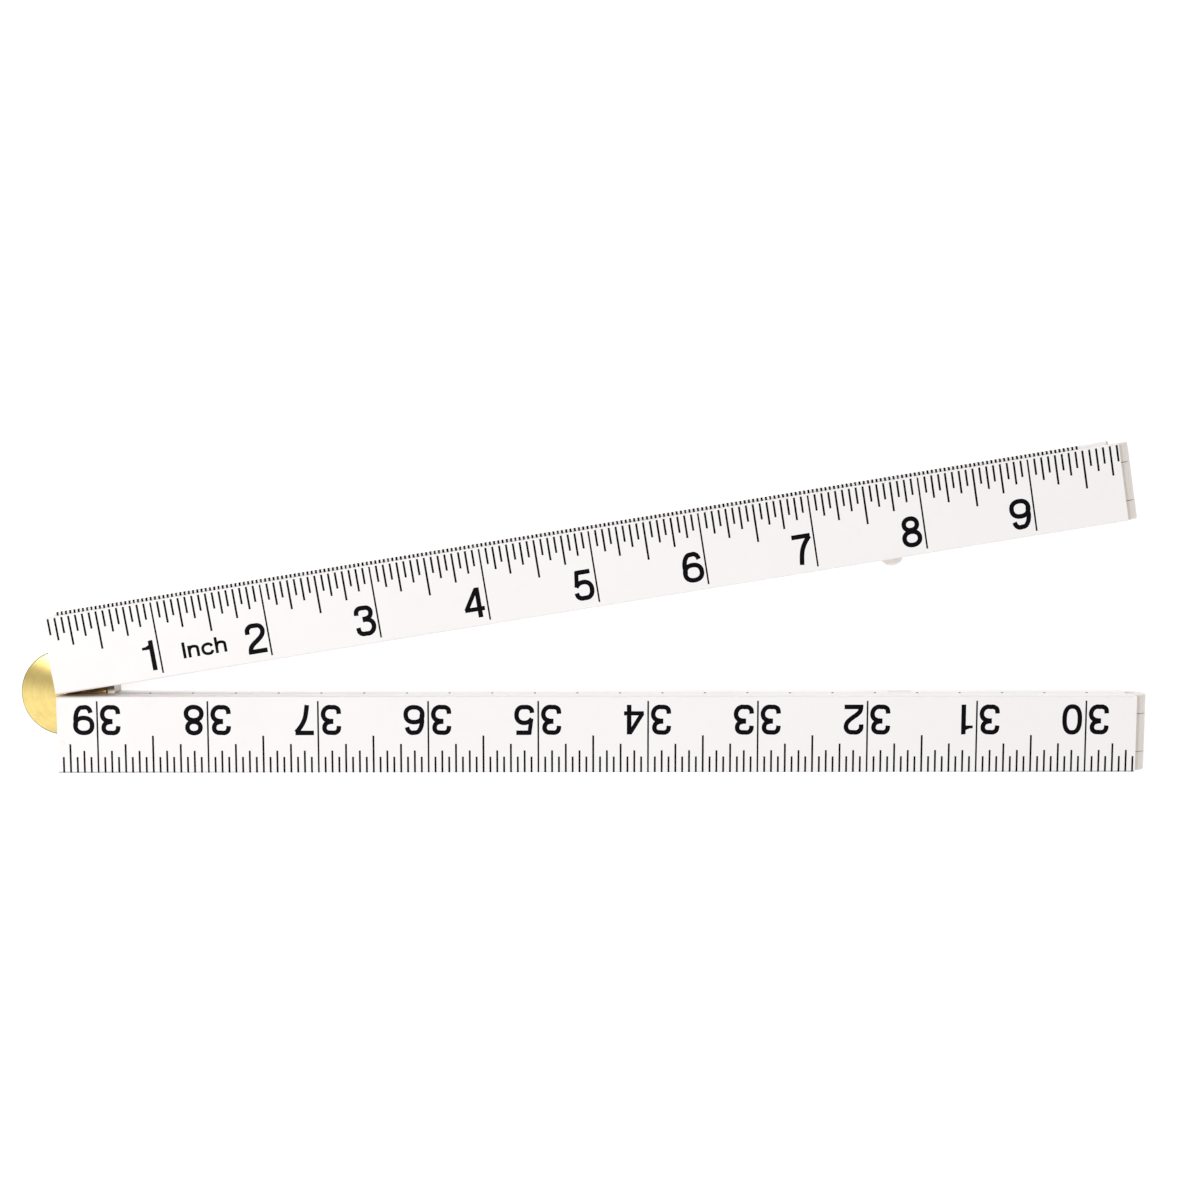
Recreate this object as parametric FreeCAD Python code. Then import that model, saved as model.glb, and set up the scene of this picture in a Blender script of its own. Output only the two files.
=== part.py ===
"""Four-fold rule: four flat plastic legs, a round brass main joint, two plastic knuckle joints.

Millimetres, +Z up. The origin is on the main joint's axis at the underside of the folded rule.
+X runs along the lower arm to its knuckle, +Y is the side of the upper arm. Each arm is a back
leg lying on the ground plane with a front leg folded over it.
"""
import FreeCAD
import Part
import math
import os

# Legs
leg_length = 250.0          # from one joint's axis to the next, a quarter of the rule
leg_thickness = 5.0
front_leg_width = 18.0
back_leg_width = 18.8       # stands a little beyond the front leg at the outer edge
layer_gap = 0.2             # between a front leg and the back leg under it
long_edge_round = 0.35
inner_edge_setback = 0.15   # of each arm from the line where the arms close
joint_end_setback = 0.1     # of each leg's end from the main joint's axis
knuckle_end_setback = 0.25  # of each leg's end from its knuckle's axis

# Main joint
opening_angle = 9.27        # between the arms at rest, degrees
disc_radius = 10.0
disc_edge_chamfer = 0.25
leaf_thickness = 2.2
leaf_side_gap = 0.05        # running gap between the leaf and each plate
swing_gap = 0.15            # radial gap around discs and necks that swing
neck_reach = 1.7            # of the plates' and the leaf's necks beyond the disc
plate_neck_drop = 0.3       # of the neck's face below the disc's face
neck_overlap_angle = 14.0   # that a neck reaches past the closing line, degrees
leaf_overlap_angle = 10.0
neck_root_angle = 75.0
joint_rivet_radius = 1.6
running_gap = 0.05          # radial gap of a turning piece on its pin

# Tangs of the brass pieces inside the back legs
tang_length = 38.0          # measured from the joint's axis
tang_width = 10.0
tang_centre = 9.0           # distance from the closing line
tang_rivet_radius = 1.0
tang_rivet_rows = (20.0, 32.0)
tang_rivet_spread = 3.0     # of the pair in the first row, either side of the tang's middle

# Closing tab on the upper arm's inner edge
tab_distance = 196.4        # from the main joint's axis
tab_middle = 0.7            # from the closing line into the leg
tab_radius = 2.7
tab_thickness = 1.6
tab_slot_gap = 0.3
tab_slot_side_gap = 0.2

# Knuckle joints
knuckle_radius = 3.5
knuckle_end_round = 0.3     # around the outer knuckles' far ends
knuckle_share = 0.25        # of the front leg's width taken by each outer knuckle
knuckle_side_gap = 0.15
knuckle_notch_gap = 0.15
knuckle_pin_radius = 1.1
knuckle_pin_recess = 0.3    # of the pin's ends below the knuckle's ends

# Sizes that follow
front_leg_base = leg_thickness + layer_gap
knuckle_height = leg_thickness + layer_gap / 2
plate_thickness = (leg_thickness - leaf_thickness) / 2 - leaf_side_gap
neck_radius = disc_radius + neck_reach
arch_radius = neck_radius + swing_gap
plate_tang_thickness = leg_thickness / 2 - plate_thickness
knuckle_span = front_leg_width - inner_edge_setback
inner_split = inner_edge_setback + knuckle_share * knuckle_span
outer_split = front_leg_width - knuckle_share * knuckle_span
MARGIN = 1.0                # by which cutting shapes pass the faces they cut
CLOSING_PLANE = FreeCAD.Vector(0, 1, 0)
UP = FreeCAD.Vector(0, 0, 1)
ORIGIN = FreeCAD.Vector(0, 0, 0)


def box(x_low, x_high, y_low, y_high, z_low, z_high):
    corner = FreeCAD.Vector(x_low, y_low, z_low)
    return Part.makeBox(x_high - x_low, y_high - y_low, z_high - z_low, corner)


def upright(radius, z_low, z_high, x=0.0, y=0.0):
    return Part.makeCylinder(radius, z_high - z_low, FreeCAD.Vector(x, y, z_low), UP)


def crosswise(radius, y_low, y_high):
    """Cylinder on the knuckle's axis."""
    start = FreeCAD.Vector(leg_length, y_low, knuckle_height)
    return Part.makeCylinder(radius, y_high - y_low, start, CLOSING_PLANE)


def sector(radius, z_low, z_high, angle_low, angle_high):
    piece = Part.makeCylinder(radius, z_high - z_low, FreeCAD.Vector(0, 0, z_low), UP,
                              angle_high - angle_low)
    piece.rotate(ORIGIN, UP, angle_low)
    return piece


def mirrored_across_arms(shape):
    return shape.mirror(ORIGIN, CLOSING_PLANE)


def mirrored_top_to_bottom(shape):
    return shape.mirror(FreeCAD.Vector(0, 0, leg_thickness / 2), UP)


def on_upper_arm(shape):
    turned = shape.copy()
    turned.rotate(ORIGIN, UP, opening_angle)
    return turned


def leg_bar(width, base):
    """A leg's plain bar with its four long edges rounded."""
    bar = box(joint_end_setback, leg_length - knuckle_end_setback, inner_edge_setback, width,
              base, base + leg_thickness)
    long_edges = [edge for edge in bar.Edges if edge.BoundBox.XLength > leg_length / 2]
    return bar.makeFillet(long_edge_round, long_edges)


def tang_rivet_spots():
    first, second = tang_rivet_rows
    return [(first, tang_centre - tang_rivet_spread),
            (first, tang_centre + tang_rivet_spread),
            (second, tang_centre)]


def tang_rivet_shanks(z_low, z_high):
    return [upright(tang_rivet_radius, z_low, z_high, x, y) for x, y in tang_rivet_spots()]


def tang_bar(thickness, x_low=0.0):
    """The tang's bar at mid height of the back leg."""
    middle = leg_thickness / 2
    return box(x_low, tang_length, tang_centre - tang_width / 2, tang_centre + tang_width / 2,
               middle - thickness / 2, middle + thickness / 2)


def rounded_at(knuckle, end):
    rims = [edge for edge in knuckle.Edges
            if edge.BoundBox.YLength < 0.01 and abs(edge.BoundBox.YMin - end) < 0.01]
    return knuckle.makeFillet(knuckle_end_round, rims)


def outer_knuckles():
    half_gap = knuckle_side_gap / 2
    inner = crosswise(knuckle_radius, inner_edge_setback, inner_split - half_gap)
    outer = crosswise(knuckle_radius, outer_split + half_gap, front_leg_width)
    return [rounded_at(inner, inner_edge_setback), rounded_at(outer, front_leg_width)]


def middle_knuckle():
    half_gap = knuckle_side_gap / 2
    return crosswise(knuckle_radius, inner_split + half_gap, outer_split - half_gap)


def front_leg():
    """Leg of the front layer: the middle knuckle and notches for the two outer ones."""
    notch_radius = knuckle_radius + knuckle_notch_gap
    half_gap = knuckle_side_gap / 2
    leg = leg_bar(front_leg_width, front_leg_base)
    leg = leg.cut(crosswise(notch_radius, -MARGIN, inner_split + half_gap))
    leg = leg.cut(crosswise(notch_radius, outer_split - half_gap, back_leg_width + MARGIN))
    leg = leg.fuse(middle_knuckle())
    leg = leg.cut(crosswise(knuckle_pin_radius + running_gap, -MARGIN, back_leg_width + MARGIN))
    return leg.removeSplitter()


def back_leg(tang_thickness, edge_recess):
    """Leg of the back layer: arch at the brass joint, slot for its tang, two outer knuckles."""
    notch_radius = knuckle_radius + knuckle_notch_gap
    half_gap = knuckle_side_gap / 2
    leg = leg_bar(back_leg_width, 0.0)
    leg = leg.cut(upright(arch_radius, -MARGIN, leg_thickness + MARGIN))
    leg = leg.cut(tang_bar(tang_thickness))
    for shank in tang_rivet_shanks(-MARGIN, leg_thickness + MARGIN):
        leg = leg.cut(shank)
    leg = leg.cut(edge_recess)
    leg = leg.cut(crosswise(notch_radius, inner_split - half_gap, outer_split + half_gap))
    for knuckle in outer_knuckles():
        leg = leg.fuse(knuckle)
    leg = leg.cut(crosswise(knuckle_pin_radius, -MARGIN, back_leg_width + MARGIN))
    return leg.removeSplitter()


def tab_disc(radius, thickness):
    middle = leg_thickness / 2
    return upright(radius, middle - thickness / 2, middle + thickness / 2,
                   tab_distance, tab_middle)


def joint_plate():
    """Outer brass plate: disc, sunk neck, and a tang joggled down to the leg's mid height."""
    low = leg_thickness - plate_thickness
    neck_top = leg_thickness - plate_neck_drop
    joggle_radius = disc_radius + swing_gap
    middle = leg_thickness / 2
    disc = upright(disc_radius, low, leg_thickness - disc_edge_chamfer)
    crown = Part.makeCone(disc_radius, disc_radius - disc_edge_chamfer, disc_edge_chamfer,
                          FreeCAD.Vector(0, 0, leg_thickness - disc_edge_chamfer), UP)
    plate = disc.fuse(crown)
    plate = plate.fuse(sector(neck_radius, low, neck_top, -neck_overlap_angle, neck_root_angle))
    tang = tang_bar(2 * plate_tang_thickness).common(box(0, tang_length, 0, back_leg_width,
                                                         middle, leg_thickness))
    step = tang_bar(2 * (neck_top - middle)).common(upright(neck_radius, middle, neck_top))
    tang = tang.fuse(step)
    tang = tang.cut(upright(joggle_radius, middle - MARGIN, low))
    plate = plate.fuse(tang)
    plate = plate.cut(upright(joint_rivet_radius, 0, leg_thickness + MARGIN))
    for shank in tang_rivet_shanks(0, leg_thickness):
        plate = plate.cut(shank)
    return plate.removeSplitter()


def joint_leaf():
    """Middle brass leaf: disc between the plates, neck, and straight tang."""
    low = (leg_thickness - leaf_thickness) / 2
    high = low + leaf_thickness
    leaf = upright(disc_radius, low, high)
    leaf = leaf.fuse(sector(neck_radius, low, high, -leaf_overlap_angle, neck_root_angle))
    leaf = leaf.fuse(tang_bar(leaf_thickness))
    leaf = leaf.cut(upright(joint_rivet_radius + running_gap, low - MARGIN, high + MARGIN))
    for shank in tang_rivet_shanks(0, leg_thickness):
        leaf = leaf.cut(shank)
    return leaf.removeSplitter()


def joint_rivet():
    return upright(joint_rivet_radius, 0, leg_thickness)


def tang_rivets():
    return Part.makeCompound(tang_rivet_shanks(0, leg_thickness))


def knuckle_pin():
    return crosswise(knuckle_pin_radius, inner_edge_setback + knuckle_pin_recess,
                     front_leg_width - knuckle_pin_recess)


def all_pieces():
    plate = joint_plate()
    tab_slot = tab_disc(tab_radius + tab_slot_gap, tab_thickness + 2 * tab_slot_side_gap)
    leg_with_tab = back_leg(leaf_thickness, tab_disc(tab_radius, tab_thickness))
    leg_with_slot = back_leg(2 * plate_tang_thickness, mirrored_across_arms(tab_slot))
    return {
        "leg_1": on_upper_arm(front_leg()),
        "leg_2": on_upper_arm(leg_with_tab),
        "leg_3": mirrored_across_arms(leg_with_slot),
        "leg_4": mirrored_across_arms(front_leg()),
        "joint_top_plate": mirrored_across_arms(plate),
        "joint_bottom_plate": mirrored_across_arms(mirrored_top_to_bottom(plate)),
        "joint_leaf": on_upper_arm(joint_leaf()),
        "joint_rivet": joint_rivet(),
        "leg_2_rivets": on_upper_arm(tang_rivets()),
        "leg_3_rivets": mirrored_across_arms(tang_rivets()),
        "upper_knuckle_pin": on_upper_arm(knuckle_pin()),
        "lower_knuckle_pin": mirrored_across_arms(knuckle_pin()),
        "closing_tab": on_upper_arm(tab_disc(tab_radius, tab_thickness)),
    }


def main():
    os.makedirs("parts", exist_ok=True)
    for name, shape in all_pieces().items():
        shape.exportStep("parts/" + name + ".step")
        bounds = shape.BoundBox
        print(name, len(shape.Solids), round(shape.Volume, 2), shape.isValid(),
              round(bounds.XMin, 2), round(bounds.XMax, 2), round(bounds.YMin, 2),
              round(bounds.YMax, 2), round(bounds.ZMin, 2), round(bounds.ZMax, 2))


main()
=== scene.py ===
"""Looks of a four-fold rule: white plastic legs, printed scales, turned brass joint, studio stage.

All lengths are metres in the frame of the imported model: origin on the main joint's axis at the
underside, +X along the lower arm, +Y towards the upper arm, +Z up.
"""
import math

import bmesh
import bpy
from mathutils import Euler, Matrix, Vector
from mathutils.geometry import delaunay_2d_cdt


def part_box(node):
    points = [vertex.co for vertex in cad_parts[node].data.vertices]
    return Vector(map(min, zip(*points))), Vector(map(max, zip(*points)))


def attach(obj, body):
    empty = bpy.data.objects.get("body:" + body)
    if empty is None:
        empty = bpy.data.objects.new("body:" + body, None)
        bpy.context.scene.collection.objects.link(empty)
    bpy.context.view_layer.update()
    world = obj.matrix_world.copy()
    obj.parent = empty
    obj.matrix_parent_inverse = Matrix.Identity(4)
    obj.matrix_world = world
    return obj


bl_info = {
    "name": "Four-fold Rule",
    "version": (1, 0, 0),
    "blender": (4, 5, 0),
    "location": "3D View > Sidebar > Folding Rule",
    "description": "Finishes, printed scales and stage for a four-fold rule",
    "category": "Object",
}

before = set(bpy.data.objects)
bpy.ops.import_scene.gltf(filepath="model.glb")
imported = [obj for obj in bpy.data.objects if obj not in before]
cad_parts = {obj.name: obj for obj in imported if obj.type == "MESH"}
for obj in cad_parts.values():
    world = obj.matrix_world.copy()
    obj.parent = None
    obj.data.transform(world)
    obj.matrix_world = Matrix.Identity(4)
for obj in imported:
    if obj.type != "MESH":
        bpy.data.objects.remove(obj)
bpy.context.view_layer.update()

MM = 0.001
INCH = 0.0254
CM = 0.01

LEG = 0.25                       # from one joint's axis to the next
RULE = 4 * LEG
OPENING = math.radians(9.27)     # between the arms at rest
LEG_THICKNESS = 5.0 * MM
LAYER_GAP = 0.2 * MM             # between a front leg and the back leg under it
GAP_HEIGHT = LEG_THICKNESS + LAYER_GAP / 2
FRONT_FACE = 2 * LEG_THICKNESS + LAYER_GAP
LEG_EDGE_ROUND = 0.35 * MM
INNER_SETBACK = 0.15 * MM        # of a leg's inner edge from the closing line
FRONT_WIDTH = 18.0 * MM
BACK_WIDTH = 18.8 * MM
DISC = 10.0 * MM                 # radius of the brass discs
NECK = 11.7 * MM                 # radius of the necks' ends
KNUCKLE_END = 0.25 * MM          # from a leg's end to its knuckle's axis

TRACKING = 0.09                  # gap between characters as a share of their height
INCH_PARTS = 16                  # graduations in an inch
# how far the ticks reach in from the outer edge, in millimetres, by the sixteenths they mark
UPPER_REACHES = {8: 9.0, 4: 7.05, 2: 5.5, 1: 4.05}
LOWER_REACHES = {8: 8.7, 4: 6.75, 2: 5.2, 1: 3.75}
LOWER_TICK_WEIGHT = 0.95         # the lower arm's ticks against the upper arm's
INCH_START = 0.9 * MM            # first tick's least distance from the main joint's axis
INCH_END = LEG - 0.5 * MM        # the print stops here, short of the knuckle
DISC_CLEAR_TICKS = 3.5 * MM      # the back legs' inch side is bare this far from the disc
DISC_CLEAR_FIGURES = 1.5 * MM
AFTER_LINE = 0.1 * MM            # added to the gap between an inch line and the digit after it
INCH_WRAP = 0.05 * MM            # how far ink runs down a leg's side past the edge's rounding
METRIC_WRAP = 0.12 * MM
INNER_WRAP = 0.25 * MM
METRIC_START = 1.5 * MM
METRIC_END = LEG - 7.5 * MM
FIVE_REACH = 5.2 * MM            # length of the ticks at every fifth millimetre
ONE_REACH = 3.6 * MM
BRASS_SIDE = 14.0 * MM           # centimetre lines nearer than this start past the brass
BRASS_LINE_START = 13.2 * MM
METRIC_FIGURE_BASE = 5.2 * MM
METRIC_FIGURE_GAP = 0.75         # as a share of the inch figures' gap
METRIC_FIGURES_END = LEG - 9 * MM
RIVETS_END = 36 * MM             # the back legs' metric figures start past the tang rivets
INCH_WORD = (5.3 * MM, 3.75 * MM)    # from the first inch line and from the inner edge
INCH_WORD_TRACKING = 0.135
CM_WORD = (1.6 * MM, 1.0 * MM)       # from the joint's axis and from the inner edge
CM_WORD_SIZE = 0.75                  # as a share of the other word's height
CM_WORD_TRACKING = 0.15

# brown of the brass smear near the joint, also used as painted shade in the gap between the layers
GREASE_AND_GAP_SHADE = (0.50, 0.36, 0.24, 1)
# painted shade for the grey line in a front leg's outer rounding
EDGE_SHADE = (0.16, 0.16, 0.18, 1)
THIN_INK = (0.022, 0.022, 0.026, 1)
# painted shade on the brass disc's edge chamfer
DISC_RIM_SHADE = (0.26, 0.23, 0.11, 1)
# painted light: pale tones for the brass necks, as they look where the light falls on them
NECK_LIT_TONE = (0.90, 0.84, 0.72, 1)
NECK_END_HIGHLIGHT = (0.97, 0.94, 0.88, 1)
# painted shade: dark brown for the brass hemmed in between the legs
CREVICE_SHADE_BROWN = (0.10, 0.042, 0.018, 1)
STEEL_LINES = (0.36, 0.35, 0.34, 1)


class ScaleSettings(bpy.types.PropertyGroup):
    """Sizes of the printed scales"""
    tick_width: bpy.props.FloatProperty(
        name="Tick width", description="Width of the short graduation lines",
        default=0.46 * MM, unit='LENGTH', precision=5)
    line_width: bpy.props.FloatProperty(
        name="Line width", description="Width of the long inch and centimetre lines",
        default=0.38 * MM, unit='LENGTH', precision=5)
    ink_height: bpy.props.FloatProperty(
        name="Ink height", description="How far the ink stands above the plastic",
        default=0.012 * MM, unit='LENGTH', precision=6)
    ink_depth: bpy.props.FloatProperty(
        name="Ink depth", description="How far the ink reaches into the plastic",
        default=0.04 * MM, unit='LENGTH', precision=6)
    inch_figure_height: bpy.props.FloatProperty(
        name="Inch figure height", description="Height of the figures on the inch side",
        default=7.0 * MM, unit='LENGTH', precision=5)
    metric_figure_height: bpy.props.FloatProperty(
        name="Metric figure height", description="Height of the figures on the metric side",
        default=5.0 * MM, unit='LENGTH', precision=5)
    word_height: bpy.props.FloatProperty(
        name="Word height", description="Height of the capital in the unit's name",
        default=3.7 * MM, unit='LENGTH', precision=5)
    figure_weight: bpy.props.FloatProperty(
        name="Figure weight", description="Stroke of a figure as a share of its height",
        default=0.152, subtype='FACTOR', min=0.05, max=0.3)
    word_weight: bpy.props.FloatProperty(
        name="Word weight", description="Stroke of a letter as a share of the capital's height",
        default=0.178, subtype='FACTOR', min=0.05, max=0.3)
    inch_line_end: bpy.props.FloatProperty(
        name="Inch line end", description="Distance of an inch line's end from the inner edge",
        default=1.25 * MM, unit='LENGTH', precision=5)
    figure_base: bpy.props.FloatProperty(
        name="Figure base", description="Distance of the figures' feet from the inner edge",
        default=2.15 * MM, unit='LENGTH', precision=5)
    figure_gap: bpy.props.FloatProperty(
        name="Figure gap", description="Gap between a figure and its line",
        default=0.60 * MM, unit='LENGTH', precision=5)
    tick_setback: bpy.props.FloatProperty(
        name="Tick setback", description="Gap between the inch ticks and the outer edge",
        default=0.30 * MM, unit='LENGTH', precision=5)


class FinishSettings(bpy.types.PropertyGroup):
    """Colours of the pieces"""
    plastic_colour: bpy.props.FloatVectorProperty(
        name="Plastic", description="Colour of the moulded legs", subtype='COLOR',
        size=4, min=0, max=1, default=(0.962, 0.938, 0.931, 1))
    plastic_shade: bpy.props.FloatVectorProperty(
        name="Plastic shade", description="Slightly handled areas of the legs", subtype='COLOR',
        size=4, min=0, max=1, default=(0.925, 0.89, 0.878, 1))
    # The knuckles' darker beige is partly their bare plastic and partly painted shade, where the
    # barrels turn away from the light.
    knuckle_colour: bpy.props.FloatVectorProperty(
        name="Knuckle", description="Bare plastic of the knuckles, darkened by handling",
        subtype='COLOR', size=4, min=0, max=1, default=(0.94, 0.865, 0.80, 1))
    ink_colour: bpy.props.FloatVectorProperty(
        name="Ink", description="Colour of the printed scales", subtype='COLOR',
        size=4, min=0, max=1, default=(0.003, 0.003, 0.005, 1))
    brass_colour: bpy.props.FloatVectorProperty(
        name="Brass", description="Colour of the turned brass", subtype='COLOR',
        size=4, min=0, max=1, default=(0.93, 0.735, 0.275, 1))
    brass_tarnish: bpy.props.FloatVectorProperty(
        name="Tarnish", description="Colour of the brass where it has dulled", subtype='COLOR',
        size=4, min=0, max=1, default=(0.62, 0.42, 0.13, 1))
    steel_colour: bpy.props.FloatVectorProperty(
        name="Steel", description="Colour of the knuckle pins", subtype='COLOR',
        size=4, min=0, max=1, default=(0.58, 0.58, 0.60, 1))
    tab_colour: bpy.props.FloatVectorProperty(
        name="Tab", description="Colour of the closing tab", subtype='COLOR',
        size=4, min=0, max=1, default=(0.97, 0.915, 0.865, 1))


class StageSettings(bpy.types.PropertyGroup):
    """Floor, lights and camera"""
    floor_colour: bpy.props.FloatVectorProperty(
        name="Floor", description="Colour of the floor", subtype='COLOR',
        size=4, min=0, max=1, default=(0.40, 0.40, 0.40, 1))
    floor_glow: bpy.props.FloatProperty(
        name="Floor glow", description="Light that the floor sheet gives by itself",
        default=0.78, min=0)
    sky_strength: bpy.props.FloatProperty(
        name="Sky", description="Strength of the even light from all round", default=0.675, min=0)
    flag_depth: bpy.props.FloatProperty(
        name="Flag", description="How much a black flag above the joint's end takes from the sky",
        default=0.8, subtype='FACTOR', min=0, max=1)
    horizon: bpy.props.FloatProperty(
        name="Horizon", description="Brightness of the sky's edge as a share of its top",
        default=0.55, subtype='FACTOR', min=0, max=1)
    key_power: bpy.props.FloatProperty(
        name="Key light", description="Power of the small light above the joint", default=15.5, min=0)
    fill_power: bpy.props.FloatProperty(
        name="Fill light", description="Power of the wide light below the joint", default=13.0, min=0)
    camera_place: bpy.props.FloatVectorProperty(
        name="Camera", description="Where the camera stands", subtype='TRANSLATION',
        default=(0.12245, 0.04692, 0.31997), precision=5)
    camera_tilt: bpy.props.FloatProperty(
        name="Tilt", description="Camera's tilt from straight down", subtype='ANGLE',
        default=math.radians(4.574))
    camera_lean: bpy.props.FloatProperty(
        name="Lean", description="Camera's sideways lean", subtype='ANGLE',
        default=math.radians(0.516))
    camera_turn: bpy.props.FloatProperty(
        name="Turn", description="Camera's turn about its own view", subtype='ANGLE',
        default=math.radians(-0.004))
    camera_lens: bpy.props.FloatProperty(
        name="Lens", description="Focal length in millimetres on a 36 mm sensor",
        default=40.61, min=10)


# ---------------------------------------------------------------- shader building

class Shader:
    """A node material under construction"""

    def __init__(self, name):
        self.material = bpy.data.materials.new(name)
        self.material.use_nodes = True
        self.tree = self.material.node_tree
        self.surface = self.tree.nodes["Principled BSDF"]
        self.place = self.add("ShaderNodeTexCoord").outputs["Object"]

    def add(self, kind, **settings):
        """A node whose sockets and properties have the given values."""
        node = self.tree.nodes.new(kind)
        for key, value in settings.items():
            if key in node.inputs:
                node.inputs[key].default_value = value
            else:
                setattr(node, key, value)
        return node

    def link(self, source, target):
        self.tree.links.new(source, target)

    def noise(self, scale, detail, roughness=0.55, stretch=None, place=None):
        node = self.add("ShaderNodeTexNoise", Scale=scale, Detail=detail, Roughness=roughness)
        place = place or self.place
        if stretch:
            mapping = self.add("ShaderNodeMapping", Scale=stretch)
            self.link(place, mapping.inputs["Vector"])
            place = mapping.outputs["Vector"]
        self.link(place, node.inputs["Vector"])
        return node.outputs["Fac"]

    def spread(self, value, low, high, out_low, out_high):
        """Carries low to out_low and high to out_high, and holds the ends beyond."""
        node = self.add("ShaderNodeMapRange")
        self.link(value, node.inputs["Value"])
        for key, number in (("From Min", low), ("From Max", high),
                            ("To Min", out_low), ("To Max", out_high)):
            node.inputs[key].default_value = number
        return node.outputs["Result"]

    def mix(self, factor, first, second):
        node = self.add("ShaderNodeMix", data_type='RGBA')
        self.link(factor, node.inputs[0])
        for socket, colour in ((node.inputs[6], first), (node.inputs[7], second)):
            if isinstance(colour, bpy.types.NodeSocket):
                self.link(colour, socket)
            else:
                socket.default_value = colour
        return node.outputs[2]

    def combine(self, first, second, operation='ADD'):
        node = self.add("ShaderNodeMath", operation=operation)
        for socket, value in zip(node.inputs, (first, second)):
            if isinstance(value, bpy.types.NodeSocket):
                self.link(value, socket)
            else:
                socket.default_value = value
        return node.outputs[0]

    def bump(self, height, distance, strength):
        node = self.add("ShaderNodeBump", Distance=distance, Strength=strength)
        self.link(height, node.inputs["Height"])
        self.link(node.outputs["Normal"], self.surface.inputs["Normal"])

    def set(self, **values):
        for key, value in values.items():
            self.surface.inputs[key.replace("_", " ")].default_value = value

    def drive(self, socket, value):
        self.link(value, self.surface.inputs[socket])


def leg_distances(shader, side):
    """Distances along a leg, across it from the closing line and up."""
    turned = shader.add("ShaderNodeVectorRotate", rotation_type='Z_AXIS',
                        Angle=-OPENING if side > 0 else 0.0)
    shader.link(shader.place, turned.inputs["Vector"])
    parts = shader.add("ShaderNodeSeparateXYZ")
    shader.link(turned.outputs["Vector"], parts.inputs["Vector"])
    across = shader.combine(parts.outputs["Y"], float(side), 'MULTIPLY')
    return parts.outputs["X"], across, parts.outputs["Z"]


def joint_grease(shader, along, across, height):
    """Brown smear from the brass on the inner edge, and painted shade in the gap between the legs."""
    smear = shader.spread(along, 13.5 * MM, 6.0 * MM, 0.0, 0.8)
    # painted shade: a brown band along the gap between the layers, strongest near the joint
    from_gap = shader.combine(shader.combine(height, -GAP_HEIGHT), 0.0, 'ABSOLUTE')
    gap = shader.spread(from_gap, 1.40 * MM, 0.60 * MM, 0.0, 1.0)
    gap = shader.combine(gap, shader.spread(along, 90 * MM, 12 * MM, 0.12, 0.60), 'MULTIPLY')
    edge = shader.spread(across, 2 * LEG_EDGE_ROUND, INNER_SETBACK + 0.01 * MM, 0.0, 1.0)
    patchy = shader.spread(shader.noise(700, 4, 0.65), 0.3, 0.7, 0.7, 1.0)
    smear_and_gap_shade = shader.combine(smear, gap, 'MAXIMUM')
    return shader.combine(shader.combine(smear_and_gap_shade, edge, 'MULTIPLY'), patchy, 'MULTIPLY')


def edge_line(shader, along, across, height):
    """Painted shade: a grey line in the outer rounding of a front leg, where the edge turns away from
    the light, strongest near its ends.
    """
    rim_shade = shader.spread(across, FRONT_WIDTH - 0.34 * MM, FRONT_WIDTH - 0.26 * MM, 0.0, 1.0)
    front = shader.spread(height, FRONT_FACE - 0.42 * MM, FRONT_FACE - 0.30 * MM, 0.0, 1.0)
    from_middle = shader.combine(shader.combine(along, -LEG / 2), 0.0, 'ABSOLUTE')
    ends = shader.spread(from_middle, 70 * MM, 115 * MM, 0.10, 0.75)
    return shader.combine(shader.combine(rim_shade, front, 'MULTIPLY'), ends, 'MULTIPLY')


def knuckle_zone(shader, along):
    """One on a knuckle's barrels, nought on the leg's own faces."""
    ragged = shader.combine(shader.combine(shader.noise(900, 3), -0.5), 0.08 * MM, 'MULTIPLY')
    start = LEG - KNUCKLE_END
    return shader.spread(shader.combine(along, ragged), start + 0.02 * MM, start + 0.12 * MM, 0.0, 1.0)


def moulded_plastic(name, colour, shade, roughness=0.34, knuckle=None, side=0):
    """Satin moulded plastic with soft mottling, hairline scratches and a fine skin.

    A leg's also has the knuckle's colour and the arm's side, for the stains and painted shade along
    its length.
    """
    shader = Shader(name)
    mottle = shader.spread(shader.noise(38, 4, 0.6), 0.35, 0.75, 0.0, 1.0)
    handled = shader.spread(shader.noise(210, 5, 0.7), 0.52, 0.78, 0.0, 0.55)
    tone = shader.mix(mottle, colour, tuple(0.35 * a + 0.65 * b for a, b in zip(shade, colour)))
    tone = shader.mix(handled, tone, shade)
    if knuckle:
        # in part painted shade: the knuckles' barrels take the darker, warmer knuckle tone
        knuckle_shaded = shader.mix(handled, knuckle, tuple(0.93 * c for c in knuckle[:3]) + (1,))
        along, across, height = leg_distances(shader, side)
        tone = shader.mix(knuckle_zone(shader, along), tone, knuckle_shaded)
        tone = shader.mix(joint_grease(shader, along, across, height), tone, GREASE_AND_GAP_SHADE)
        if side < 0:
            # painted shade along the lower arm's outer edge
            tone = shader.mix(edge_line(shader, along, across, height), tone, EDGE_SHADE)
    shader.drive("Base Color", tone)
    scratches = shader.spread(shader.noise(1.0, 2, 0.5, (60, 5200, 5200)), 0.66, 0.74, 0.0, 1.0)
    skin = shader.noise(6500, 3, 0.6)
    rough = shader.spread(shader.noise(120, 4, 0.6), 0.3, 0.7, roughness - 0.05, roughness + 0.07)
    shader.drive("Roughness", shader.combine(rough, shader.combine(scratches, 0.12, 'MULTIPLY')))
    relief = shader.combine(skin, shader.combine(scratches, -1.6, 'MULTIPLY'))
    shader.bump(relief, 0.004 * MM, 0.6)
    shader.set(IOR=1.52)
    return shader.material


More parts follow.
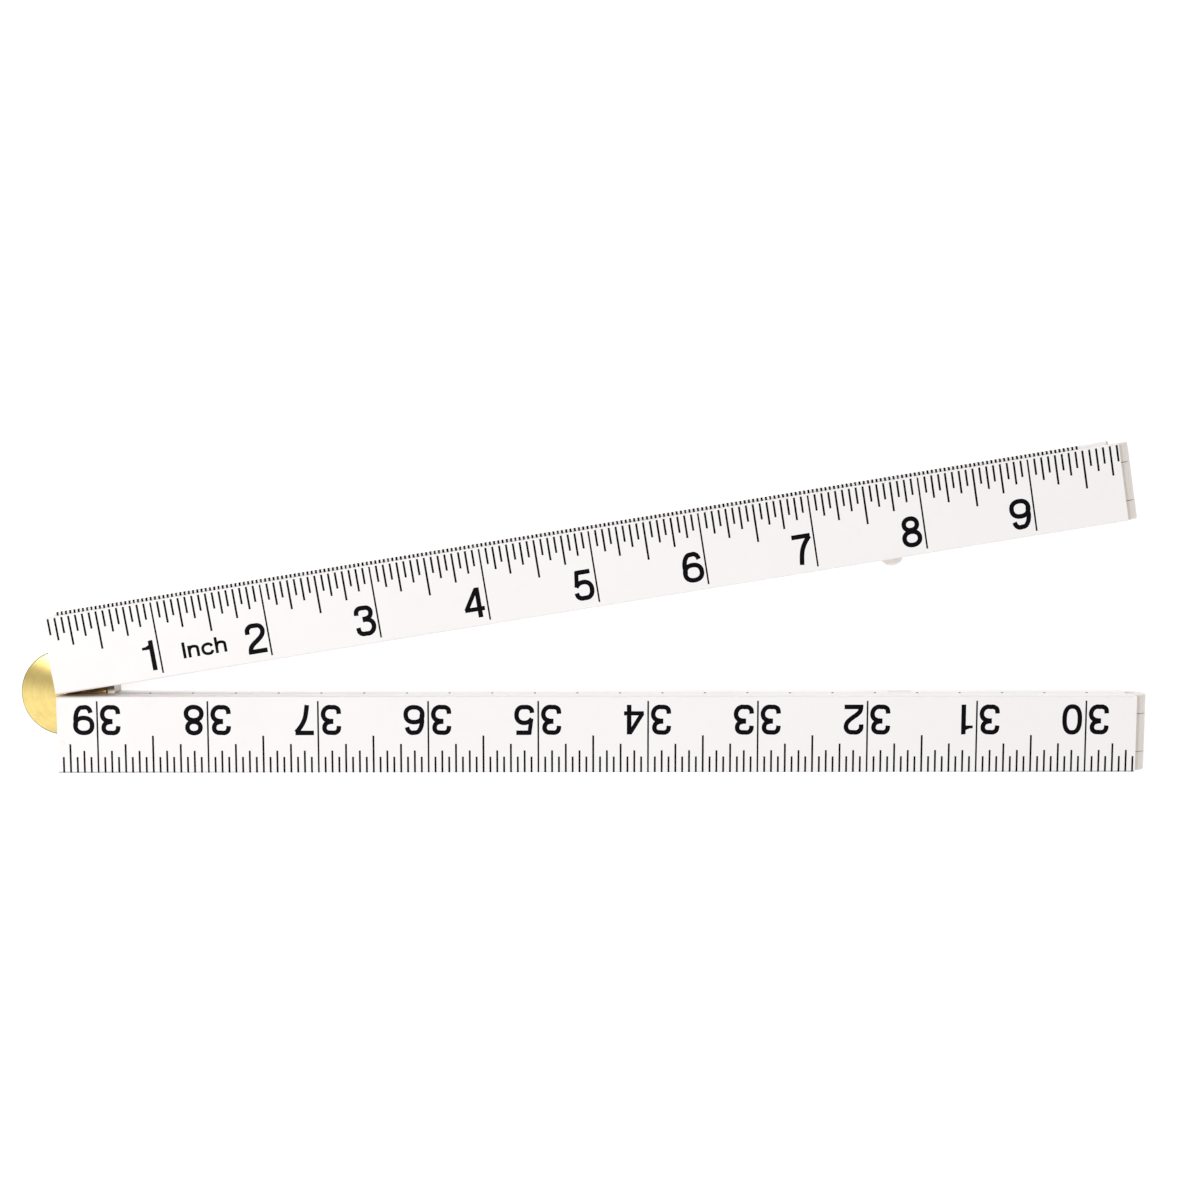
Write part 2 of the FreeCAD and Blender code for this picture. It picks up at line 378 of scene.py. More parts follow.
def print_ink(name, colour):
    """Hot-stamped black ink, a little uneven and thin in places."""
    shader = Shader(name)
    thin = shader.spread(shader.noise(2600, 3, 0.6), 0.62, 0.80, 0.0, 0.5)
    shader.drive("Base Color", shader.mix(thin, colour, THIN_INK))
    shader.drive("Roughness", shader.spread(shader.noise(900, 3), 0.3, 0.7, 0.42, 0.60))
    shader.bump(shader.noise(5200, 2), 0.003 * MM, 0.5)
    shader.set(IOR=1.45, Specular_IOR_Level=0.06)
    return shader.material


def turned_brass(name, colour, tarnish):
    """Brass faced on a lathe: fine rings round the joint's axis, soft bands and light tarnish."""
    shader = Shader(name)
    flat = shader.add("ShaderNodeVectorMath", operation='MULTIPLY')
    shader.link(shader.place, flat.inputs[0])
    flat.inputs[1].default_value = (1, 1, 0)
    length = shader.add("ShaderNodeVectorMath", operation='LENGTH')
    shader.link(flat.outputs["Vector"], length.inputs[0])
    radius = length.outputs["Value"]
    rings = shader.add("ShaderNodeCombineXYZ")
    shader.link(radius, rings.inputs["X"])
    fine = shader.noise(9000, 2, 0.65, place=rings.outputs["Vector"])
    bands = shader.noise(1500, 4, 0.65, place=rings.outputs["Vector"])
    stain = shader.spread(shader.noise(330, 5, 0.65), 0.45, 0.80, 0.0, 0.45)
    # painted shade: the brass turns dark brown where ambient occlusion finds it hemmed in, as in the
    # narrow gap between the legs
    occlusion = shader.add("ShaderNodeAmbientOcclusion", samples=8, Distance=6 * MM)
    painted_shade = shader.spread(occlusion.outputs["AO"], 0.22, 0.55, 1.0, 0.0)
    off_disc = (DISC + 0.02 * MM, DISC + 0.10 * MM)
    before_tang = shader.spread(radius, NECK + 0.3 * MM, NECK + 0.5 * MM, 1.0, 0.0)
    neck = shader.spread(radius, *off_disc, 0.0, 1.0)
    neck = shader.combine(neck, before_tang, 'MULTIPLY')
    neck_end = shader.spread(radius, NECK - 0.03 * MM, NECK - 0.005 * MM, 0.0, 1.0)
    neck_end = shader.combine(neck_end, before_tang, 'MULTIPLY')
    # painted shade: a dark olive ring on the disc's edge chamfer
    rim_shade = shader.spread(radius, DISC - 0.34 * MM, DISC - 0.22 * MM, 0.0, 0.9)
    rim_shade = shader.combine(rim_shade, shader.spread(radius, *off_disc, 1.0, 0.0), 'MULTIPLY')
    tone = shader.mix(shader.spread(bands, 0.35, 0.70, 0.0, 0.30), colour, tarnish)
    tone = shader.mix(stain, tone, tarnish)
    tone = shader.mix(rim_shade, tone, DISC_RIM_SHADE)
    # painted light: the necks' tops are painted pale tan and their end walls near white, the end walls
    # as lit by the floor
    tone = shader.mix(neck, tone, NECK_LIT_TONE)
    tone = shader.mix(neck_end, tone, NECK_END_HIGHLIGHT)
    # the painted shade is weaker on the necks and weaker still on their ends
    painted_shade = shader.combine(painted_shade, shader.spread(neck, 0.0, 1.0, 1.0, 0.62), 'MULTIPLY')
    painted_shade = shader.combine(painted_shade, shader.spread(neck_end, 0.0, 1.0, 1.0, 0.4), 'MULTIPLY')
    shader.drive("Base Color", shader.mix(painted_shade, tone, CREVICE_SHADE_BROWN))
    rough = shader.combine(shader.spread(bands, 0.3, 0.7, 0.27, 0.33),
                           shader.combine(stain, 0.08, 'MULTIPLY'))
    shader.drive("Roughness", shader.combine(rough, shader.combine(neck, 0.22, 'MULTIPLY')))
    nicks = shader.spread(shader.noise(1.0, 2, 0.5, (900, 2600, 900)), 0.68, 0.74, 0.0, 1.0)
    relief = shader.combine(shader.combine(fine, 0.6, 'MULTIPLY'),
                            shader.combine(nicks, -0.4, 'MULTIPLY'))
    shader.bump(relief, 0.006 * MM, 0.28)
    tangent = shader.add("ShaderNodeTangent", direction_type='RADIAL', axis='Z')
    shader.drive("Tangent", tangent.outputs["Tangent"])
    shader.set(Metallic=1.0, Anisotropic=1.0, Anisotropic_Rotation=0.25)
    return shader.material


def drawn_steel(name, colour):
    """Drawn steel wire with fine lines along its length."""
    shader = Shader(name)
    lines = shader.noise(1.0, 3, 0.6, (6000, 120, 6000))
    shade = shader.spread(lines, 0.35, 0.7, 0.0, 0.5)
    shader.drive("Base Color", shader.mix(shade, colour, STEEL_LINES))
    shader.drive("Roughness", shader.spread(lines, 0.3, 0.7, 0.24, 0.42))
    shader.bump(lines, 0.004 * MM, 0.5)
    shader.set(Metallic=1.0)
    return shader.material


def studio_floor(name, colour, glow):
    """Pale light table: matt opal sheet with a very faint grain, lit a little from below."""
    shader = Shader(name)
    grain = shader.spread(shader.noise(900, 3), 0.3, 0.7, 0.0, 1.0)
    shader.drive("Base Color", shader.mix(grain, colour, tuple(0.985 * c for c in colour)))
    shader.drive("Roughness", shader.spread(shader.noise(300, 2), 0.3, 0.7, 0.85, 0.95))
    shader.set(Specular_IOR_Level=0.1, Emission_Color=(1, 1, 1, 1), Emission_Strength=glow)
    return shader.material


def finish_node(node, material):
    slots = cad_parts[node].data.materials
    slots.clear()
    slots.append(material)


# ---------------------------------------------------------------- outlines of the figures

def rounded_path(points, steps=5):
    """Smooth line through the points."""
    ends = [points[0]] + list(points) + [points[-1]]
    path = []
    for a, b, c, d in zip(ends, ends[1:], ends[2:], ends[3:]):
        for step in range(steps):
            t = step / steps
            path.append(tuple(
                0.5 * (2 * q + (r - p) * t + (2 * p - 5 * q + 4 * r - s) * t * t
                       + (3 * q - p - 3 * r + s) * t ** 3)
                for p, q, r, s in zip(a, b, c, d)))
    path.append(points[-1])
    return path


def ribbon(path, weight):
    """Outline of a line of even weight along the path."""
    left, right = [], []
    for index, point in enumerate(path):
        before = path[max(index - 1, 0)]
        after = path[min(index + 1, len(path) - 1)]
        along = Vector((after[0] - before[0], after[1] - before[1])).normalized()
        side = Vector((-along.y, along.x)) * weight / 2
        left.append((point[0] + side.x, point[1] + side.y))
        right.append((point[0] - side.x, point[1] - side.y))
    return left + right[::-1]


def oval(centre_x, centre_y, radius_x, radius_y, weight, squareness=2.3):
    """A closed ring as two overlapping halves."""
    overlap = 0.05

    def arc(start, end, steps=18):
        path = []
        for step in range(steps + 1):
            angle = start + (end - start) * step / steps
            c, s = math.cos(angle), math.sin(angle)
            path.append((centre_x + radius_x * math.copysign(abs(c) ** (2 / squareness), c),
                         centre_y + radius_y * math.copysign(abs(s) ** (2 / squareness), s)))
        return path

    return [ribbon(arc(-overlap, math.pi + overlap), weight),
            ribbon(arc(math.pi - overlap, 2 * math.pi + overlap), weight)]


def turned_round(outlines, width):
    return [[(width - x, 1 - y) for x, y in outline] for outline in outlines]


def figure_shapes(weight):
    """Plain grotesque figures one unit high: name -> (width, outlines)."""
    half = weight / 2
    top = 1 - half
    three_top = [(half, 0.70), (0.10, 0.84), (0.19, 0.92), (0.325, top), (0.46, 0.91), (0.545, 0.83),
                 (0.55, 0.71), (0.49, 0.61), (0.37, 0.565), (0.26, 0.56)]
    three_low = [(0.26, 0.535), (0.40, 0.53), (0.52, 0.48), (0.585, 0.385), (0.59, 0.26),
                 (0.53, 0.14), (0.42, 0.075), (0.315, half), (0.20, 0.08), (0.10, 0.15), (half, 0.30)]
    two = [(half, 0.66), (0.085, 0.81), (0.19, 0.915), (0.33, top), (0.48, 0.905), (0.57, 0.80),
           (0.57, 0.67), (0.50, 0.55), (0.36, 0.43), (0.22, 0.33), (0.115, 0.21), (0.08, 0.02)]
    five = [(0.085, 0.46), (0.18, 0.56), (0.32, 0.60), (0.46, 0.575), (0.56, 0.48), (0.59, 0.335),
            (0.555, 0.18), (0.46, 0.09), (0.32, half), (0.19, 0.085), (0.10, 0.16), (half, 0.27)]
    hook = [(0.575, 0.74), (0.53, 0.86), (0.44, 0.925), (0.34, top), (0.22, 0.90), (0.125, 0.77),
            (0.08, 0.58), (half + 0.01, 0.42), (0.075, 0.30)]
    six = [ribbon(rounded_path(hook), weight)] + oval(0.34, 0.325, 0.275, 0.325 - half, weight)
    flag = [(0.0, 0.70), (0.26, 0.70), (0.385, 0.90), (0.385, 1.0), (0.29, 1.0), (0.265, 0.905),
            (0.21, 0.84), (0.11, 0.80), (0.0, 0.792)]
    stem = [(0.385 - weight, 0.0), (0.385, 0.0), (0.385, 1.0), (0.385 - weight, 0.99)]
    return {
        "0": (0.66, oval(0.33, 0.5, 0.33 - half, 0.51 - half, weight, 2.45)),
        "1": (0.43, [stem, flag]),
        "2": (0.64, [ribbon(rounded_path(two), weight),
                     ribbon([(0.015, half), (0.635, half)], weight)]),
        "3": (0.65, [ribbon(rounded_path(three_top), weight),
                     ribbon(rounded_path(three_low), weight)]),
        "4": (0.67, [ribbon([(0.50, 0.0), (0.50, 0.99)], weight),
                     ribbon([(0.015, 0.285), (0.67, 0.285)], weight * 0.92),
                     ribbon([(0.055, 0.275), (0.475, 0.955)], weight * 0.92)]),
        "5": (0.65, [ribbon([(0.13, 0.93), (0.60, 0.93)], weight),
                     ribbon([(0.17, 0.985), (0.10, 0.455)], weight * 0.9),
                     ribbon(rounded_path(five), weight)]),
        "6": (0.66, six),
        "7": (0.63, [ribbon([(0.015, 0.93), (0.625, 0.93)], weight),
                     ribbon(rounded_path([(0.60, 0.91), (0.43, 0.70), (0.30, 0.42), (0.235, 0.0)]),
                            weight)]),
        "8": (0.66, oval(0.33, 0.745, 0.29 - half, 0.265 - half, weight, 2.15)
              + oval(0.33, 0.285, 0.33 - half, 0.295 - half, weight, 2.15)),
        "9": (0.66, turned_round(six, 0.66)),
    }


def letter_shapes(weight):
    """Lower case letters and a capital for the units' names, cap height one unit."""
    half = weight / 2

    def arch_path(width):
        right = width - half
        return rounded_path([(half, 0.36), (half + 0.05, 0.53), (0.32 * width, 0.635),
                             (0.55 * width, 0.66), (0.82 * width, 0.61), (right, 0.47), (right, 0.0)])

    bowl = rounded_path([(0.68, 0.49), (0.62, 0.60), (0.50, 0.66), (0.37, 0.66), (0.21, 0.61),
                         (0.105, 0.49), (half, 0.36), (0.115, 0.21), (0.22, 0.10), (0.38, 0.055),
                         (0.52, 0.065), (0.63, 0.125), (0.695, 0.24)])
    upright = ribbon([(half, 0.0), (half, 0.74)], weight)
    second_arch = [(x + 0.46 - half, y) for x, y in arch_path(0.52)]
    return {
        "I": (weight * 1.05, [ribbon([(half, 0.0), (half, 1.0)], weight * 1.05)]),
        "n": (0.71, [upright, ribbon(arch_path(0.71), weight)]),
        "c": (0.73, [ribbon(bowl, weight)]),
        "h": (0.71, [ribbon([(half, 0.0), (half, 1.0)], weight), ribbon(arch_path(0.71), weight)]),
        "m": (0.98 - half, [upright, ribbon(arch_path(0.52), weight), ribbon(second_arch, weight)]),
    }


def signed_area(outline):
    return sum(a[0] * b[1] - b[0] * a[1] for a, b in zip(outline, outline[1:] + outline[:1])) / 2


def inside(outline, x, y):
    """Whether the point lies in the outline, by the turns the outline makes about it."""
    turns = 0
    for a, b in zip(outline, outline[1:] + outline[:1]):
        left_of = (b[0] - a[0]) * (y - a[1]) - (x - a[0]) * (b[1] - a[1])
        if a[1] <= y < b[1] and left_of > 0:
            turns += 1
        elif b[1] <= y < a[1] and left_of < 0:
            turns -= 1
    return turns != 0


def filled(outlines):
    """Merges overlapping outlines: (points, triangles)."""
    points, faces = [], []
    for outline in outlines:
        ordered = outline if signed_area(outline) > 0 else outline[::-1]
        faces.append(list(range(len(points), len(points) + len(ordered))))
        points.extend(Vector(p) for p in ordered)
    tolerance = 1e-6
    merged, _, triangles, _, _, _ = delaunay_2d_cdt(points, [], faces, 1, tolerance)
    kept = []
    for triangle in triangles:
        x = sum(merged[i].x for i in triangle) / 3
        y = sum(merged[i].y for i in triangle) / 3
        if any(inside(outline, x, y) for outline in outlines):
            kept.append(list(triangle))
    return [tuple(p) for p in merged], kept


# ---------------------------------------------------------------- printing on a leg

class LegFace:
    """One printed face of a leg: where a distance along and across it lies in the frame."""

    def __init__(self, side, level, up, heading, width, body, label):
        self.side = side            # +1 upper arm, -1 lower arm
        self.level = level          # height of the face
        self.up = up                # +1 when the face looks up, -1 when it looks down
        self.heading = heading      # +1 when the scale runs away from the main joint
        self.width = width
        self.back = width > FRONT_WIDTH     # whether the brass is let into this leg
        self.body = body
        self.label = label
        self.mesh = bmesh.new()

    def place(self, x, y, lift):
        return self.mesh.verts.new((x, self.side * y, self.level + self.up * lift))

    def print_shape(self, points, triangles, settings):
        """points are (x, y) on the face, y counted from the closing line outwards."""
        top = [self.place(x, y, settings.ink_height) for x, y in points]
        low = [self.place(x, y, -settings.ink_depth) for x, y in points]
        borders = {}
        for triangle in triangles:
            for a, b in zip(triangle, triangle[1:] + triangle[:1]):
                if (b, a) in borders:
                    del borders[(b, a)]
                else:
                    borders[(a, b)] = True
            self.mesh.faces.new([top[i] for i in triangle])
            self.mesh.faces.new([low[i] for i in reversed(triangle)])
        for a, b in borders:
            self.mesh.faces.new((top[a], low[a], low[b], top[b]))

    def print_line(self, x, y_low, y_high, width, settings):
        half = width / 2
        points = [(x - half, y_low), (x + half, y_low), (x + half, y_high), (x - half, y_high)]
        self.print_shape(points, [[0, 1, 2, 3]], settings)

    def print_wrap(self, x, edge, outward, width, reach, settings):
        """Ink that follows the rounded edge and runs a little down the side of the leg."""
        half = width / 2
        radius = LEG_EDGE_ROUND
        centre = edge - outward * radius
        steps = 6
        profile = []
        for step in range(steps + 1):
            angle = math.pi / 2 * step / steps
            profile.append((math.sin(angle), math.cos(angle), 0.0))
        profile.append((1.0, 0.0, reach))
        rows = []
        for across, high, drop in profile:
            row = []
            for offset in (settings.ink_height, -settings.ink_depth):
                y = centre + outward * (radius + offset) * across
                lift = (radius + offset) * high - radius - drop
                row.extend(self.place(x + shift, y, lift) for shift in (-half, half))
            rows.append(row)
        for first, second in zip(rows, rows[1:]):
            for a, b in ((0, 1), (1, 3), (3, 2), (2, 0)):
                self.mesh.faces.new((first[a], first[b], second[b], second[a]))
        self.mesh.faces.new([rows[0][i] for i in (0, 1, 3, 2)])
        self.mesh.faces.new([rows[-1][i] for i in (0, 1, 3, 2)])

    def print_text(self, text, shapes, x_start, y_base, height, settings, tracking=TRACKING):
        """text starts at x_start and is read along the scale's heading, feet at y_base."""
        cursor = 0.0
        for character in text:
            width, (points, triangles) = shapes[character]
            placed = [(x_start + self.heading * (cursor + x) * height, y_base + y * height)
                      for x, y in points]
            self.print_shape(placed, triangles, settings)
            cursor += width + tracking

    def finish(self, name, material):
        bmesh.ops.recalc_face_normals(self.mesh, faces=self.mesh.faces[:])
        data = bpy.data.meshes.new(name)
        self.mesh.to_mesh(data)
        self.mesh.free()
        if self.side > 0:
            data.transform(Matrix.Rotation(OPENING, 4, 'Z'))
        piece = bpy.data.objects.new(name, data)
        bpy.context.scene.collection.objects.link(piece)
        data.materials.append(material)
        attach(piece, self.body)


def text_width(text, shapes):
    return sum(shapes[character][0] for character in text) + TRACKING * (len(text) - 1)


def merged_shapes(shapes):
    return {name: (width, filled(outlines)) for name, (width, outlines) in shapes.items()}


def layer_levels():
    """Heights of the four printed levels, lowest first."""
    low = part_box("leg_3")[0].z
    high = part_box("leg_4")[1].z
    return low, low + LEG_THICKNESS, high - LEG_THICKNESS, high


def inch_faces():
    """The four faces of the inch scale, each with the measure at its start."""
    low, _, _, high = layer_levels()
    return [
        (LegFace(1, high, 1, 1, FRONT_WIDTH, "upper_front_leg", "leg_1"), 0.0),
        (LegFace(1, low, -1, -1, BACK_WIDTH, "upper_back_leg", "leg_2"), LEG),
        (LegFace(-1, low, -1, 1, BACK_WIDTH, "lower_back_leg", "leg_3"), 2 * LEG),
        (LegFace(-1, high, 1, -1, FRONT_WIDTH, "lower_front_leg", "leg_4"), 3 * LEG),
    ]


def metric_faces():
    """The four faces of the metric scale, each with the measure at its start."""
    _, back_top, front_low, _ = layer_levels()
    return [
        (LegFace(-1, front_low, -1, 1, FRONT_WIDTH, "lower_front_leg", "leg_4"), 0.0),
        (LegFace(-1, back_top, 1, -1, BACK_WIDTH, "lower_back_leg", "leg_3"), LEG),
        (LegFace(1, back_top, 1, 1, BACK_WIDTH, "upper_back_leg", "leg_2"), 2 * LEG),
        (LegFace(1, front_low, -1, -1, FRONT_WIDTH, "upper_front_leg", "leg_1"), 3 * LEG),
    ]


def along_leg(face, start, measure):
    """Distance from the main joint's end of the leg for a measure on the rule."""
    run = measure - start
    return run if face.heading > 0 else LEG - run


def number_spans(face, number, x, gaps, shapes, height):
    """Digits printed before and after the line at x: [(digits, start, end)]."""
    text = str(number)
    before, after = (text[:-1], text[-1]) if len(text) > 1 else (text, "")
    start = x - face.heading * (gaps[0] + text_width(before, shapes) * height)
    spans = [(before, start, x)]
    if after:
        start = x + face.heading * gaps[1]
        spans.append((after, start, start + face.heading * text_width(after, shapes) * height))
    return spans


def print_inch_face(face, start, settings, shapes, ink):
    lower_arm = face.side < 0
    reaches = LOWER_REACHES if lower_arm else UPPER_REACHES
    tick_width = settings.tick_width * (LOWER_TICK_WEIGHT if lower_arm else 1.0)
    outer = face.width - (LEG_EDGE_ROUND if lower_arm else settings.tick_setback)
    ticks_from = max(INCH_START, DISC + DISC_CLEAR_TICKS if face.back else 0.0)
    figures_from = DISC + DISC_CLEAR_FIGURES if face.back else 0.0
    first = math.floor(start / INCH * INCH_PARTS) + 1
    last = math.ceil((start + LEG) / INCH * INCH_PARTS) - 1
    for part in range(first, last + 1):
        x = along_leg(face, start, part * INCH / INCH_PARTS)
        if x < ticks_from or x > INCH_END - settings.tick_width / 2:
            continue
        if part % INCH_PARTS == 0:
            low, width = settings.inch_line_end, settings.line_width
        else:
            reach = next(length for step, length in reaches.items() if part % step == 0)
            low, width = face.width - reach * MM, tick_width
        face.print_line(x, low, outer, width, settings)
        if lower_arm:
            face.print_wrap(x, face.width, 1, width, INCH_WRAP, settings)
    height = settings.inch_figure_height
    gap = settings.figure_gap + settings.line_width / 2
    for number in range(1, math.ceil(RULE / INCH)):
        measure = number * INCH
        if not start < measure < start + LEG:
            continue
        x = along_leg(face, start, measure)
        spans = number_spans(face, number, x, (gap, gap + AFTER_LINE), shapes, height)
        places = [place for _, *ends in spans for place in ends]
        if min(places) < figures_from or max(places) > INCH_END:
            continue
        for digits, place, _ in spans:
            face.print_text(digits, shapes, place, settings.figure_base, height, settings)
    face.finish("inch_scale_" + face.label, ink)


def print_metric_face(face, start, settings, shapes, ink):
    outer = face.width - LEG_EDGE_ROUND
    for millimetre in range(1, round(LEG / MM)):
        x = along_leg(face, start, start + millimetre * MM)
        if x > METRIC_END or x < METRIC_START:
            continue
        measure = round(start / MM) + millimetre
        if measure % 10 == 0:
            inner = INNER_SETBACK + LEG_EDGE_ROUND
            if face.back and x < BRASS_SIDE:
                inner = BRASS_LINE_START
            elif face.back:
                face.print_wrap(x, INNER_SETBACK, -1, settings.tick_width, INNER_WRAP, settings)
            face.print_line(x, inner, outer, settings.line_width, settings)
        else:
            reach = FIVE_REACH if measure % 5 == 0 else ONE_REACH
            face.print_line(x, face.width - reach, outer, settings.tick_width, settings)
        face.print_wrap(x, face.width, 1, settings.tick_width, METRIC_WRAP, settings)
    height = settings.metric_figure_height
    gap = METRIC_FIGURE_GAP * settings.figure_gap + settings.line_width / 2
    for centimetre in range(1, round(RULE / CM)):
        measure = centimetre * CM
        if not start < measure < start + LEG - MM:
            continue
        x = along_leg(face, start, measure)
        if x > METRIC_FIGURES_END or (face.back and x < RIVETS_END):
            continue
        for digits, place, _ in number_spans(face, centimetre, x, (gap, gap), shapes, height):
            face.print_text(digits, shapes, place, METRIC_FIGURE_BASE, height, settings)
    face.finish("metric_scale_" + face.label, ink)


# ---------------------------------------------------------------- operators

class RULE_OT_legs(bpy.types.Operator):
    """Give the four moulded legs their satin white plastic"""
    bl_idname = "folding_rule.legs"
    bl_label = "Legs"

    def execute(self, context):
        finish = context.scene.rule_finish
        for arm, side, nodes in (("upper", 1, ("leg_1", "leg_2")), ("lower", -1, ("leg_3", "leg_4"))):
            plastic = moulded_plastic(arm + "_arm_plastic", tuple(finish.plastic_colour),
                                      tuple(finish.plastic_shade),
                                      knuckle=tuple(finish.knuckle_colour), side=side)
            for node in nodes:
                finish_node(node, plastic)
        return {'FINISHED'}


class RULE_OT_gate_mark(bpy.types.Operator):
    """Add the small witness ring of the moulding gate at the front leg's end"""
    bl_idname = "folding_rule.gate_mark"
    bl_label = "Gate mark"

    def execute(self, context):
        finish = context.scene.rule_finish
        plastic = moulded_plastic("gate_plastic", tuple(finish.plastic_shade),
                                  tuple(0.85 * c for c in finish.plastic_shade[:3]) + (1,))
        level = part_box("leg_4")[1].z
        shape = bmesh.new()
        centre_x, centre_y = 1.25, -11.0        # millimetres, like the profile
        profile = ((0.36, 0.0), (0.42, 0.02), (0.50, 0.02), (0.56, 0.0), (0.50, -0.1),
                   (0.42, -0.1))
        steps = 32
        rings = []
        for step in range(steps):
            angle = 2 * math.pi * step / steps
            rings.append([shape.verts.new(((centre_x + radius * math.cos(angle)) * MM,
                                           (centre_y + radius * math.sin(angle)) * MM,
                                           level + lift * MM)) for radius, lift in profile])
        for first, second in zip(rings, rings[1:] + rings[:1]):
            for a in range(len(profile)):
                b = (a + 1) % len(profile)
                shape.faces.new((first[a], first[b], second[b], second[a]))
        bmesh.ops.recalc_face_normals(shape, faces=shape.faces[:])
        data = bpy.data.meshes.new("gate_mark")
        shape.to_mesh(data)
        shape.free()
        mark = bpy.data.objects.new("gate_mark", data)
        context.scene.collection.objects.link(mark)
        data.materials.append(plastic)
        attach(mark, "lower_front_leg")
        return {'FINISHED'}


class RULE_OT_brass_joint(bpy.types.Operator):
    """Give the plates, leaf and rivets of the main joint their turned brass"""
    bl_idname = "folding_rule.brass_joint"
    bl_label = "Brass joint"

    def execute(self, context):
        finish = context.scene.rule_finish
        brass = turned_brass("turned_brass", tuple(finish.brass_colour),
                             tuple(finish.brass_tarnish))
        for node in ("joint_top_plate", "joint_bottom_plate", "joint_leaf", "joint_rivet",
                     "leg_2_rivets", "leg_3_rivets"):
            finish_node(node, brass)
        return {'FINISHED'}


class RULE_OT_knuckle_pins(bpy.types.Operator):
    """Give the two knuckle pins their drawn steel"""
    bl_idname = "folding_rule.knuckle_pins"
    bl_label = "Knuckle pins"

    def execute(self, context):
        steel = drawn_steel("pin_steel", tuple(context.scene.rule_finish.steel_colour))
        for node in ("upper_knuckle_pin", "lower_knuckle_pin"):
            finish_node(node, steel)
        return {'FINISHED'}


class RULE_OT_closing_tab(bpy.types.Operator):
    """Give the closing tab its slightly darker plastic"""
    bl_idname = "folding_rule.closing_tab"
    bl_label = "Closing tab"

    def execute(self, context):
        colour = tuple(context.scene.rule_finish.tab_colour)
        shade = tuple(0.86 * c for c in colour[:3]) + (1.0,)
        finish_node("closing_tab", moulded_plastic("tab_plastic", colour, shade, roughness=0.42))
        return {'FINISHED'}


class RULE_OT_inch_scale(bpy.types.Operator):
    """Print the inch scale and its figures on the four legs"""
    bl_idname = "folding_rule.inch_scale"
    bl_label = "Inch scale"

    def execute(self, context):
        settings = context.scene.rule_scale
        ink = print_ink("scale_ink", tuple(context.scene.rule_finish.ink_colour))
        shapes = merged_shapes(figure_shapes(settings.figure_weight))
        for face, start in inch_faces():
            print_inch_face(face, start, settings, shapes, ink)
        return {'FINISHED'}


class RULE_OT_metric_scale(bpy.types.Operator):
    """Print the millimetre scale and its figures on the other side of the four legs"""
    bl_idname = "folding_rule.metric_scale"
    bl_label = "Metric scale"

    def execute(self, context):
        settings = context.scene.rule_scale
        shapes = merged_shapes(figure_shapes(settings.figure_weight))
        for face, start in metric_faces():
            print_metric_face(face, start, settings, shapes, bpy.data.materials["scale_ink"])
        return {'FINISHED'}


class RULE_OT_unit_words(bpy.types.Operator):
    """Print the name of the unit at the start of each scale"""
    bl_idname = "folding_rule.unit_words"
    bl_label = "Unit names"

    def execute(self, context):
        settings = context.scene.rule_scale
        ink = bpy.data.materials["scale_ink"]
        shapes = merged_shapes(letter_shapes(settings.word_weight))
        height = settings.word_height
        inch_face, start = inch_faces()[0]
        x = along_leg(inch_face, start, INCH) + INCH_WORD[0]
        inch_face.print_text("Inch", shapes, x, INCH_WORD[1], height, settings,
                             INCH_WORD_TRACKING)
        inch_face.finish("unit_name_inch", ink)
        metric_face, start = metric_faces()[0]
        x = along_leg(metric_face, start, 0.0) + CM_WORD[0]
        metric_face.print_text("cm", shapes, x, CM_WORD[1], CM_WORD_SIZE * height, settings,
                               CM_WORD_TRACKING)
        metric_face.finish("unit_name_cm", ink)
        return {'FINISHED'}


